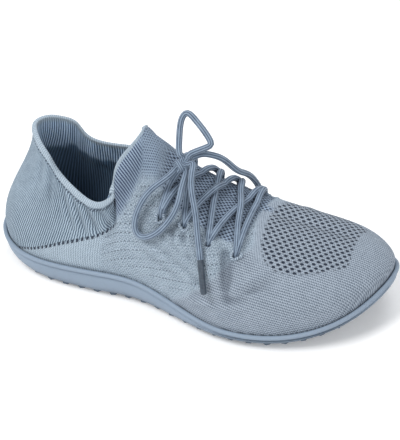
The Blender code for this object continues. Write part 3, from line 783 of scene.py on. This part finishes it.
def creases(row, climb, medial):  # soft troughs and ridges pressed into the knit, in metres
    side = np.where(medial, 0.6, 1.0)
    # the trough under the first eyelet and the pinched ridge in front of it
    trough = 8.32 + 0.10 * (0.55 - climb)
    ends = within(climb, 0.14, 0.34, 0.54, 0.63)
    push = -0.0030 * side * hump(row, trough, 0.15) * ends
    push += 0.0016 * side * hump(row, trough - 0.40, 0.24) * smoothStep(0.20, 0.42, climb) * ends
    ridge = along(pinchedRidge, row)
    push += 0.0017 * side * hump(climb, ridge, 0.040) * within(row, 8.1, 8.7, 9.2, 9.8)
    push -= 0.0011 * side * hump(climb, ridge - 0.080, 0.04) * within(row, 8.2, 8.8, 9.0, 9.7)
    # wrinkles that fan up from the seam's end to the collar, and softer ones at the heel
    fan = np.cos((row - 4.30 + (climb - 0.6) * 1.5) * 2 * math.pi / 0.42)
    push += 0.00105 * fan * hump(row, 3.75, 0.95) * within(climb, 0.50, 0.66, 0.88, 0.97)
    push += 0.0007 * np.sin(row * 9.5 + climb * 3) * hump(row, 2.1, 0.9) * within(climb, 0.55, 0.75, 0.9, 0.97)
    # the hollow in front of the ankle and the fold that runs down to the heel seam
    push -= 0.0022 * hump(row, 4.92, 0.17) * within(climb, 0.50, 0.66, 0.86, 1.0)
    push += 0.0013 * hump(row, 5.35, 0.22) * within(climb, 0.40, 0.60, 0.84, 1.0)
    push -= 0.0012 * hump(row, 4.55, 0.14) * hump(climb, 0.62, 0.10)
    # long shallow folds over the midfoot, fanning to the front
    for level, rising, deep in ((0.46, 0.045, 0.0007), (0.37, 0.02, 0.0006), (0.28, 0, 0.0007), (0.19, -0.02, 0.0006)):
        wander = level + rising * (row - 7) + 0.012 * np.sin(row * 3.1 + level * 20)
        push -= deep * hump(climb, wander, 0.022) * within(row, 5.5, 6.4, 7.9, 8.6)
    # the throat lies a little lower than the band round it, which stands up at the eyelets
    edge = along(throatEdge, row) - knit["medialThroat"] * medial
    push -= 0.0013 * smoothStep(edge - 0.015, edge + 0.03, climb) * within(row, 6.3, 6.7, 8.95, 9.2)
    push += 0.0006 * hump(climb, edge - 0.035, 0.03) * within(row, 6.4, 6.8, 8.7, 9.0)
    # crumpled knit beside the upper eyelets, nipped between two of them
    crumple = np.sin(row * 15 + climb * 21) + 0.6 * np.sin(row * 27 - climb * 31 + 1.0)
    push += 0.0010 * crumple * hump(row, 6.95, 0.50) * hump(climb, 0.46, 0.09)
    push -= 0.0012 * hump(climb, along(nip, row), 0.020) * within(row, 6.5, 6.7, 6.98, 7.15)
    # two soft slanted ridges that rise from the arch to the ball
    for level in (0.06, 0.17):
        rise = level + 0.085 * (row - 7.0)
        push += 0.0011 * side * hump(climb, rise, 0.020) * within(row, 6.9, 7.5, 8.7, 9.3)
    return push


def rounder(points, share):  # softens the ridge where the two sides meet
    deep = 16
    band = points[:deep].copy()
    fade = share * (1 - np.linspace(0, 1, deep) ** 2)[:, None, None]
    for _ in range(60):
        beyond = np.concatenate((band[1:2, ::-1], band[:-1]))
        onward = np.concatenate((band[1:], points[deep:deep + 1]))
        band += 0.25 * fade * (beyond + onward - 2 * band)
    return np.concatenate((band, points[deep:]))


def rolledBack(points, row, climb, medial):  # the tongue's edge curls back over the ankle's opening
    curl = hump(row, 5.50, 0.24) * smoothStep(0.70, 1.0, climb) * np.where(medial, knit["medialCurl"], 1.0)
    points[..., 0] -= knit["curl"] * curl
    return points


def evenNormals(w, climb):  # the upper's normals, evened out where the two sides meet over the ridge
    clear = np.clip(climb, 0.004, 0.985)
    facing, mirror = upperNormal(w, clear), upperNormal(around - w, clear)
    near = smoothStep(0.97, 1.0, climb) * (stationOf(w) >= peakRow - 1e-9)
    return unit(facing + (mirror - facing) * near[..., None] * 0.5)


def acrossRim(outer, lining, fade):  # rows that go over from the lining's edge to the outer face's edge
    lip = outer[0]
    rise = unit(lip - outer[2]) * fade * shoe["knitWall"] * 0.62
    angle = np.linspace(math.pi, 0, knit["rimRows"] + 2)[1:-1, None, None]
    return (lip + lining) / 2 + (lip - lining) / 2 * np.cos(angle) + rise * np.sin(angle)


def fromHeel(path):  # millimetres along a line round the shoe, from the heel on either side
    length = arcLength(path) * 1000
    return np.minimum(length, length[-1] - length)


def knitZones(row, climb, medial, foot, topDown):  # where each zone of the knit holds, mostly from 0 to 1
    seam = (climb - along(heelSeam, row)) * topDown[0]
    front = along(ribFront, climb)
    heel = smoothStep(-0.3, 0.5, seam) * (1 - smoothStep(front - 0.22, front + 0.14, row))
    fore = 1 - smoothStep(-0.02, 0.02, climb - np.where(row > 9.0, 2.0, along(foreEdge, row)))
    fore = fore * (row >= 6.5)
    throat = smoothStep(-0.012, 0.018, climb - along(throatEdge, row) + knit["medialThroat"] * medial)
    throat = throat * within(row, 6.35, 6.75, 9.1, 9.25)
    holes = smoothStep(-0.01, 0.012, climb - along(holeFoot, row))
    holes = holes * smoothStep(-0.04, 0.03, row - along(holeBack, climb))
    holes = holes * (1 - smoothStep(-0.03, 0.04, row - along(holeFront, climb)))
    tongue = smoothStep(-0.05, 0.09, climb - along(tongueFoot, row)) * (1 - throat)
    tongue = tongue * within(row, 4.82, 5.0, 6.9, 7.3)
    band = tongue * (1 - smoothStep(-0.12, 0.12, row - along(tongueBand, climb)))
    plain = within(row, 8.85, 9.05, 9.45, 9.65) * smoothStep(0.55, 0.66, climb) * (1 - throat) * (1 - holes)
    middle = smoothStep(4.2, 4.4, row)
    for other in (heel, fore, tongue, throat, plain, holes):
        middle = middle * (1 - other)
    # the heel's ribs lean forward, but fan back over the seam's end
    lean = 1.25 * smoothStep(3.5, 4.7, row) - 0.28 * (1 - smoothStep(3.1, 3.9, row))
    heelRib = foot + lean * seam * (1 - smoothStep(5, 40, seam) * 0.35)
    # the collar's lining reaches down as a band, deeper at the heel
    liningBand = 1 - smoothStep(-0.5, 0.5, topDown - 13 - 12 * (1 - smoothStep(0.5, 3.6, row)))
    return dict(
        heel=heel, fore=fore, throat=throat, holes=holes, tongue=tongue, band=band, plain=plain, middle=middle,
        heelRib=heelRib, liningBand=liningBand, seam=np.where(row < 4.85, seam, 30.0),
    )


def makeUpper():
    w = np.linspace(0, around, knit["columns"] + 1)
    row, medial = stationOf(w), w > lastRow
    wall, floorInset = shoe["knitWall"], shoe["lipWall"] + shoe["gap"]
    outerClimb = 1 - np.linspace(0, 1, knit["outerRows"])[:, None]
    innerClimb = np.linspace(0, 1, knit["innerRows"])[:, None]
    face = upperAt(w, outerClimb)
    # the outer face, with its creases, eyelets pressed in and a rolled hem just under the collar's edge
    push = creases(row, outerClimb, medial)
    reaches = [np.linalg.norm(face - upperAt(place, climb), axis=-1) for _, place, climb in eyeletPlaces()]
    eyelet = np.minimum(np.min(reaches, axis=0) * 1000, 12.0)
    push += 0.0007 * hump(eyelet, 3.9, 1.1) - 0.0020 * (1 - smoothStep(0.8, 2.6, eyelet))
    down = (1 - outerClimb) * np.linalg.norm(topLine(w) - upperAt(w, 0.0), axis=-1) * 1000
    onCollar = 1 - smoothStep(peakRow - 0.12, peakRow, row)
    push += onCollar * (0.0005 * hump(down, 1.6, 1.2) - 0.0004 * hump(down, 3.7, 0.9))
    push *= smoothStep(0.0, 0.04, outerClimb)
    outer = rounder(face + evenNormals(w, outerClimb) * push[..., None], smoothStep(6.2, 6.8, row)[:, None])
    outer = rolledBack(outer, row, outerClimb, medial)
    # the lining, pressed in along with it
    inward = wall + 0.0009 * (innerClimb > 0.62) * (row < peakRow)
    inward = inward - creases(row, innerClimb, medial) * smoothStep(0.0, 0.04, innerClimb)
    inner = upperAt(w, innerClimb) - evenNormals(w, innerClimb) * inward[..., None]
    inner = rolledBack(inner, row, innerClimb, medial)
    rim = acrossRim(outer, inner[-1], 1 - smoothStep(peakRow - 0.05, peakRow, row)[:, None])
    floor, inside = feather(w, floorInset), feather(w, floorInset + wall)
    level = floor[:, 3] + shoe["treadDepth"] + shoe["baseThickness"] + shoe["gap"]
    outerFoot, innerFoot = atHeight(floor, level)[None], atHeight(inside, level)[None]
    points = np.concatenate((innerFoot, inner, rim, outer, outerFoot, innerFoot))
    size = points.shape[:2]
    climb = np.concatenate(([[0]], innerClimb, np.ones((len(rim), 1)), outerClimb, [[0], [0]]))
    rimStart = 1 + len(inner)
    onOuter = slice(rimStart + len(rim), rimStart + len(rim) + len(outer))

    # maps, in millimetres: round the foot and up the wall, over the top, and along the collar's edge
    foot = fromHeel(feather(w)[:, :3])
    steps = np.linalg.norm(np.diff(face, axis=0), axis=-1) * 1000
    below = np.concatenate((np.zeros((1, size[1])), np.cumsum(steps, 0)))  # down from the top line
    tall = below[-1]
    topDown = np.concatenate(([tall], (1 - innerClimb) * tall, np.zeros((len(rim), size[1])), below, [tall, tall]))
    sideways = (points[..., 1] - topLine(w)[:, 1]) * 1150
    atToe = smoothStep(10.8, 12.6, row)
    over = topDown * np.where(medial, 1, -1) * (1 - atToe) + sideways * atToe
    maps = {
        "wrap": (foot, tall - topDown), "over": (points[..., 0] * 1000, over), "hem": (fromHeel(topLine(w)), topDown),
    }

    marks = knitZones(row, climb, medial, foot, topDown)
    marks["inside"] = np.zeros(size)
    marks["inside"][:rimStart] = marks["inside"][-1] = 1
    marks["rim"] = (1 - smoothStep(1.7, 2.5, topDown)) * (row < peakRow)
    marks["rim"][rimStart:onOuter.start] = 1
    marks["eyelet"] = np.full(size, 12.0)
    marks["eyelet"][onOuter] = eyelet
    # painted shade darkens the folds: the troughs, the band where it turns away from the light, and the nip
    fold = np.zeros(size)
    fold[onOuter] = np.clip(-push / 0.0016, 0, 1) * (1 - marks["throat"][onOuter])
    shaded = hump(climb, along(shadedBand, row), 0.13) * within(row, 5.02, 5.25, 5.7, 6.3)
    nipShade = hump(climb, along(nip, row), 0.022) * within(row, 6.5, 6.7, 6.98, 7.15)
    marks["fold"] = np.maximum(fold, np.maximum(0.85 * shaded, nipShade))
    # over the instep there is no edge, so the rim's rows are left out
    drop = np.zeros(size, bool)
    drop[rimStart - 1:onOuter.start + 1] = row >= peakRow - 1e-6
    piece = bentGrid(
        "knitUpper", points, {title: np.stack(np.broadcast_arrays(*pair), -1) for title, pair in maps.items()},
        {title: np.broadcast_to(values, size) for title, values in marks.items()}, drop,
    )
    return settle(piece, knitFinish(), "upper_knit", "upper")


def knitFinish():
    finish = Finish("knit", {
        "Roughness": 0.86, "Sheen Weight": 0.08, "Sheen Roughness": 0.5, "Specular IOR Level": 0.2,
    })
    a, b = finish.uv("wrap")
    x, y = finish.uv("over")
    e, d = finish.uv("hem")
    inside, rim, heel, fore, throat, holes, tongue, band = map(
        finish.mark, "inside rim heel fore throat holes tongue band".split(),
    )
    plain, seam, eyelet, middle, heelRib, liningBand, fold = map(
        finish.mark, "plain seam eyelet middle heelRib liningBand fold".split(),
    )
    place = finish.place()
    cloud, patch, fuzz = place.noise(45, 3.0), place.noise(160, 3.0), place.noise(1100)

    # the knit's courses, zone by zone
    heelRibs = (heelRib + (b.wave(2.6) - 0.5) * 0.25).wave(knit["heelRib"])
    heelRibs = (seam.between(24.0, 56.0) * 0.40).blend(heelRibs, patch * 0.25 + 0.42)
    lowRibs = (a + (b.wave(1.8) - 0.5) * 0.5).wave(knit["fineRib"])
    stitch = (x + y * 0.5).wave(1.5)
    foreRibs = (y + (stitch - 0.5) * 0.4).wave(knit["fineRib"]) * 0.62 + stitch * 0.38
    slantU, slantV = a * 0.93 + b * 0.36, b * 0.93 - a * 0.36
    zigzag = slantU.inCell(2.9) * 0.8
    slant = (slantV + zigzag + (patch - 0.5) * 4.0).wave(1.7) * 0.62 + slantU.wave(1.6) * 0.38
    bandRibs = (x * 0.62 + b * 0.78 + (d.wave(1.7) - 0.5) * 0.2).wave(1.9)
    dots = 1 - (x + y * 1.2).wave(2.5) * (x - y * 1.2).wave(2.5)
    smooth = (x + y * 0.4).wave(1.5) * 0.45 + 0.3
    height = heel.blend(lowRibs, heelRibs)
    for zone, course in (
        (middle, slant), (fore, foreRibs), (tongue, dots), (band, bandRibs), (plain, smooth), (throat, 0.75),
    ):
        height = zone.blend(height, course)

    # staggered holes over the toes and the throat's open mesh: every other row is shifted by half a cell
    hole = holes * staggered(x, y, 4.4, 5.4, 1.22)
    mesh = throat * staggered(x, y, 3.0, 3.2, 0.92)
    # small holes in slanted rows over the midfoot
    small = dotted(slantU, slantV, 2.9, 5.6, 0.62) * middle * (cloud + 0.05).between(0.42, 0.6)
    small = small * a.between(95.0, 120.0) * b.between(7.0, 12.0)
    # slots along the heel's seam, with painted shade inside them
    slots = 1 - (a + 0.6).inCell(3.3).between(0.55, 0.95)
    slots = slots * (1 - (seam - 0.3).size().between(0.8, 1.4))
    seamDip = 1 - seam.size().between(0.6, 2.2)
    # a row of small slanting stitches under the collar's hem
    hemStitch = (1 - (e + d * 0.8).inCell(2.3).between(0.45, 0.8)) * (1 - (d - 3.9).size().between(0.6, 1.2))
    eye = 1 - eyelet.between(1.5, 2.3)

    # painted light and shade on the knit's relief: crests lighter and grooves darker, over the yarn's own flecks; lit
    # with the stronger contrast, soft with the weaker
    lit = (height * 0.68 + fuzz * 0.40 + patch * 0.16 + cloud * 0.10).between(0.30, 0.98)
    soft = (height * 0.5 + fuzz * 0.5 + patch * 0.2).between(0.1, 1.0)
    hem = (fuzz * 0.6 + (e + d * 0.6).wave(1.5) * 0.4).between(0.2, 0.8)
    colour = soft.mixed(*knit["low"])
    for zone, tone, title in (
        (middle, soft, "middle"), (fore, lit, "fore"), (heel, lit, "heel"), (tongue, lit, "dots"), (band, lit, "band"),
        (plain, soft, "fore"), (holes, soft, "fore"), (throat, lit, "mesh"), (rim, hem, "rim"),
    ):
        colour = zone.mixed(colour, tone.mixed(*knit[title]))
    # the lining's ribs get painted shade in their grooves, over the yarn's own flecks
    liningRibs = e.wave(1.75)
    tone = (liningRibs * 0.8 + fuzz * 0.3).between(0.1, 1.0)
    lining = liningBand.mixed(tone.mixed(*knit["deep"]), tone.mixed(*knit["lining"]))
    colour = (inside * (1 - rim)).mixed(colour, lining)
    # painted shade: the holes, the mesh's openings, the small holes, the slots, the eyelets' openings, the seam's dip
    # and the folds are painted dark as the shade inside them; the stitches under the hem take the same dark
    dark = hole.most(
        mesh * 0.9, small * 0.60, slots * 0.95, seamDip * 0.10, fold * 0.42, hemStitch * heel * 0.75, eye,
    )
    finish.feed("Base Color", (dark * (1 - inside)).mixed(colour, knit["hole"]))
    pits = hole * 2.2 + mesh * 1.6 + small * 0.9 + slots * 2.0 + seamDip * 0.5
    relief = height * (1 - rim * 0.7) + patch * 0.35 + fuzz * 0.45 - pits * (1 - inside)
    finish.bump(inside.blend(relief, liningRibs), 0.00050, 0.9)
    finish.feed("Roughness", fuzz * 0.12 + 0.80)
    return finish.material


def dotted(x, y, pitch, spread, radius):  # round dots, in cells of pitch by spread
    across, onward = y.inCell(spread), x.inCell(pitch)
    reach = across.maths("SQRT", across * across * 1.6 + onward * onward)
    return 1 - reach.between(radius * 0.7, radius * 1.15)


def staggered(x, y, pitch, spread, radius):
    shifted = dotted(x + pitch / 2, y + spread / 2, pitch, spread, radius)
    return shifted.most(dotted(x, y, pitch, spread, radius))


makeUpper()
print("upper done")


# the sole: a cup with a beaded lip, a groove under it and a field of rounded lugs

sole = {
    "columns": 26 * 20,
    "lugPitch": 0.0115,
    "lugSpacing": 0.0130,
    "lugRadius": 0.0045,
    "levelWithin": 0.0005,
    # the scallops under the side: smaller lugs, this much smaller, lower and further out
    "scallop": 0.72,
    "scallopTop": 0.0012,
    "scallopOut": 0.0004,
    "lugBevel": 0.0007,
    "colour": tint(139, 155, 173),
    "shade": tint(84, 99, 116),
}
# from the lower edge up the side: inset in undercuts, share of the side's height
sideRows = [(1.0, 0.0), (0.86, 0.02), (0.66, 0.08), (0.42, 0.22), (0.27, 0.38), (0.18, 0.55)]
# then over the lip and down inside: what the inset is measured in, the inset, the drop from the lip in beads
lipRows = [
    ("grooveDepth", 1.35, 1.75), ("grooveDepth", 1.5, 1.45), ("grooveDepth", 2.1, 1.22), ("grooveDepth", 2.3, 1.05),
    ("grooveDepth", 1.9, 0.95), ("lipBead", 0.10, 0.78), ("lipBead", 0.0, 0.58), ("lipBead", 0.0, 0.42),
    ("lipBead", 0.06, 0.26), ("lipBead", 0.18, 0.11), ("lipBead", 0.36, 0.02), ("lipWall", 0.60, 0.0),
    ("lipWall", 0.80, 0.05), ("lipWall", 0.95, 0.18), ("lipWall", 1.0, 0.40),
]


def toMiddle(ring, *shares):  # rings that close a floor, from the edge to the line between the two sides
    middle = (ring + ring[::-1]) / 2
    return [ring + (middle - ring) * share for share in shares]


def makeSole():
    w = np.linspace(0, around, sole["columns"] + 1)
    rings = []
    for inset, share in sideRows:
        line = feather(w, inset * shoe["undercut"])
        low = line[:, 3] + shoe["treadDepth"]
        rings.append(atHeight(line, low + (line[:, 2] - low) * share))
    for title, inset, drop in lipRows:
        line = feather(w, inset * shoe[title])
        rings.append(atHeight(line, line[:, 2] - drop * shoe["lipBead"]))
    line = feather(w, shoe["lipWall"])
    ups = [ring[:, 2] - line[:, 3] for ring in rings]
    rings.append(atHeight(line, line[:, 3] + shoe["treadDepth"] + shoe["baseThickness"]))
    inside = toMiddle(rings[-1], 0.15, 0.4, 0.7, 1.0)
    under = toMiddle(rings[0], 1.0, 0.7, 0.4, 0.15)
    ups = [0 * w] * len(under) + ups + [ups[-1]] * (1 + len(inside))
    points = np.stack(under + rings + inside)
    foot = np.broadcast_to(arcLength(line[:, :3]), points.shape[:2])
    cup = bentGrid("cup", points, {"lay": np.stack((foot, ups), -1) * 1000})
    piece = joined("rubberSole", [cup, makeLugs()])
    return settle(piece, rubberFinish(), "sole_rubber", "outsole")


def addLug(bm, x, y, radius, tall, turn, lowest):
    made = bmesh.ops.create_cone(
        bm, cap_ends=True, segments=6, radius1=radius, radius2=radius, depth=tall,
        matrix=Matrix.Translation((x, y, lowest + tall / 2)) @ Matrix.Rotation(turn, 4, "Z"),
    )
    edges = dict.fromkeys(e for v in made["verts"] for e in v.link_edges)
    foot = [e for e in edges if all(v.co.z < lowest + tall / 2 for v in e.verts)]
    bmesh.ops.bevel(
        bm, geom=foot, offset=sole["lugBevel"], offset_type="OFFSET", affect="EDGES", segments=2, profile=0.5,
        material=-1, clamp_overlap=True,
    )


def roomInside(line, spot):  # how far a spot is inside a closed line, or nothing when it is outside
    start, end = line, np.roll(line, -1, axis=0)
    run = end - start
    share = np.clip(((spot - start) * run).sum(1) / (run * run).sum(1), 0, 1)
    room = np.linalg.norm(start + run * share[:, None] - spot, axis=1).min()
    rises = (start[:, 1] > spot[1]) != (end[:, 1] > spot[1])
    crossing = start[:, 0] + run[:, 0] * (spot[1] - start[:, 1]) / np.where(run[:, 1] == 0, 1e-9, run[:, 1])
    return room if np.count_nonzero(rises & (spot[0] < crossing)) % 2 else 0


def makeLugs():
    line = feather(np.linspace(0, around, 261)[:-1], shoe["undercut"])[:, :2]
    half = feather(np.linspace(0, lastRow, 131), shoe["undercut"])
    pitch, radius = sole["lugPitch"], sole["lugRadius"]
    bm = bmesh.new()
    reach = int(shoe["soleLength"] / 2 / pitch)
    aside = int(shoe["ballWidth"] / 2 / sole["lugSpacing"]) + 1
    for i in range(-reach, reach + 1):
        low = float(np.interp(i * pitch, half[:, 0], half[:, 3]))
        for j in range(-aside, aside + 1):
            x, y = i * pitch, (j + (i % 2) / 2) * sole["lugSpacing"]
            if roomInside(line, np.array((x, y))) >= radius + shoe["gap"]:
                stands = 0.0 if low < sole["levelWithin"] else low
                addLug(bm, x, y, radius, shoe["treadDepth"] + shoe["baseThickness"] / 2, math.pi / 6, stands)
    # smaller ones round the edge, which show as scallops under the side
    small = radius * sole["scallop"]
    edge = feather(np.linspace(0, around, 521), shoe["undercut"] + small - sole["scallopOut"])
    edge = atHeight(edge, np.where(edge[:, 3] < sole["levelWithin"], 0, edge[:, 3]))
    run = arcLength(edge)
    for place in np.arange(0.5, run[-1] / pitch) * pitch:
        x, y, low = (float(np.interp(place, run, edge[:, k])) for k in range(3))
        addLug(bm, x, y, small, shoe["treadDepth"] + sole["scallopTop"], place * 40, low)
    mesh = bpy.data.meshes.new("lugs")
    bm.to_mesh(mesh)
    bm.free()
    mesh.uv_layers.new(name="lay")
    return inScene("lugs", mesh)


def rubberFinish():
    finish = Finish("sole rubber", {"Specular IOR Level": 0.4})
    place = finish.place()
    grain, cloud, scuff = place.noise(1400), place.noise(35, 4.0), place.noise(160, 5.0)
    height = finish.uv("lay")[1]
    # painted shade: the side is painted darker towards its lower edge, where it tucks under, over the rubber's own
    # mottle
    tone = cloud * 0.35 + grain * 0.2 + scuff * 0.15 + height.between(1.0, 11.0) * 0.45
    finish.feed("Base Color", tone.between(0.2, 0.85).mixed(sole["shade"], sole["colour"]))
    finish.feed("Roughness", scuff * 0.2 + grain * 0.1 + 0.42)
    finish.bump(grain * 0.7 + scuff * 0.6, 0.00012, 0.6)
    return finish.material


makeSole()
print("sole done")


# the insole

insole = {
    "thickness": 0.0030,
    "margin": 0.0010,
    "softEdge": 0.0008,
    "colour": tint(70, 84, 102),
    "shade": tint(40, 50, 64),
}


def makeInsole():
    inset = shoe["lipWall"] + shoe["gap"] + shoe["knitWall"] + insole["margin"]
    w = np.linspace(0, around, 26 * 12 + 1)
    edge, top = feather(w, inset), feather(w, inset + insole["softEdge"])
    low = edge[:, 3] + shoe["treadDepth"] + shoe["baseThickness"] + shoe["gap"]
    high = low + insole["thickness"]
    rings = [atHeight(edge, low), atHeight(edge, high - insole["softEdge"]), atHeight(top, high)]
    under, over = toMiddle(rings[0], 1.0, 0.6, 0.3, 0.1), toMiddle(rings[-1], 0.1, 0.3, 0.6, 1.0)
    piece = bentGrid("insole", np.stack(under + rings + over))
    finish = Finish("insole cloth", {"Roughness": 0.92, "Sheen Weight": 0.2})
    place = finish.place()
    onward, across, _ = place.parts()
    weave = (onward * 1000).wave(1.1) * (across * 1000).wave(1.1)
    tone = (weave * 0.6 + place.noise(50, 3.0) * 0.5).between(0.1, 0.9)
    finish.feed("Base Color", tone.mixed(insole["shade"], insole["colour"]))
    finish.bump(weave, 0.0002, 0.6)
    return settle(piece, finish.material, "insole_foam", "insole")


makeInsole()
print("insole done")


# floor and light

studio = {
    "floorSize": 9.0,
    "floor": (0.93, 0.93, 0.935, 1),
    "floorGlow": 0.16,
    "world": (0.97, 0.985, 1.0, 1),
    "worldStrength": 0.42,
    "aim": (0, 0, 0.04),
    # place, size, power, colour
    "lights": [
        ((-0.55, -0.62, 1.25), 0.75, 14.5, (1.0, 0.995, 0.98)),
        ((0.95, -0.65, 0.80), 0.8, 4.0, (1.0, 0.99, 0.98)),
        ((0.10, 0.85, 1.05), 0.8, 5.5, (0.97, 0.985, 1.0)),
    ],
}


def makeStudio():
    bm = bmesh.new()
    bmesh.ops.create_grid(bm, x_segments=2, y_segments=2, size=studio["floorSize"])
    mesh = bpy.data.meshes.new("floor")
    bm.to_mesh(mesh)
    bm.free()
    floor = inScene("floor", mesh)
    finish = Finish("floor", {
        "Base Color": studio["floor"], "Roughness": 0.9, "Specular IOR Level": 0.1,
        "Emission Color": (1, 1, 1, 1), "Emission Strength": studio["floorGlow"],
    })
    mesh.materials.append(finish.material)
    for number, (place, size, power, colour) in enumerate(studio["lights"]):
        data = bpy.data.lights.new("light%d" % number, "AREA")
        data.shape = "DISK"
        data.size, data.energy, data.color = size, power, colour
        light = inScene("light%d" % number, data)
        light.location = place
        light.rotation_euler = (Vector(studio["aim"]) - Vector(place)).to_track_quat("-Z", "Y").to_euler()
    world = bpy.data.worlds.new("studio")
    world.use_nodes = True
    background = world.node_tree.nodes["Background"]
    background.inputs["Color"].default_value = studio["world"]
    background.inputs["Strength"].default_value = studio["worldStrength"]
    bpy.context.scene.world = world
    bpy.context.scene.view_settings.view_transform = "Standard"


makeStudio()
print("studio done")
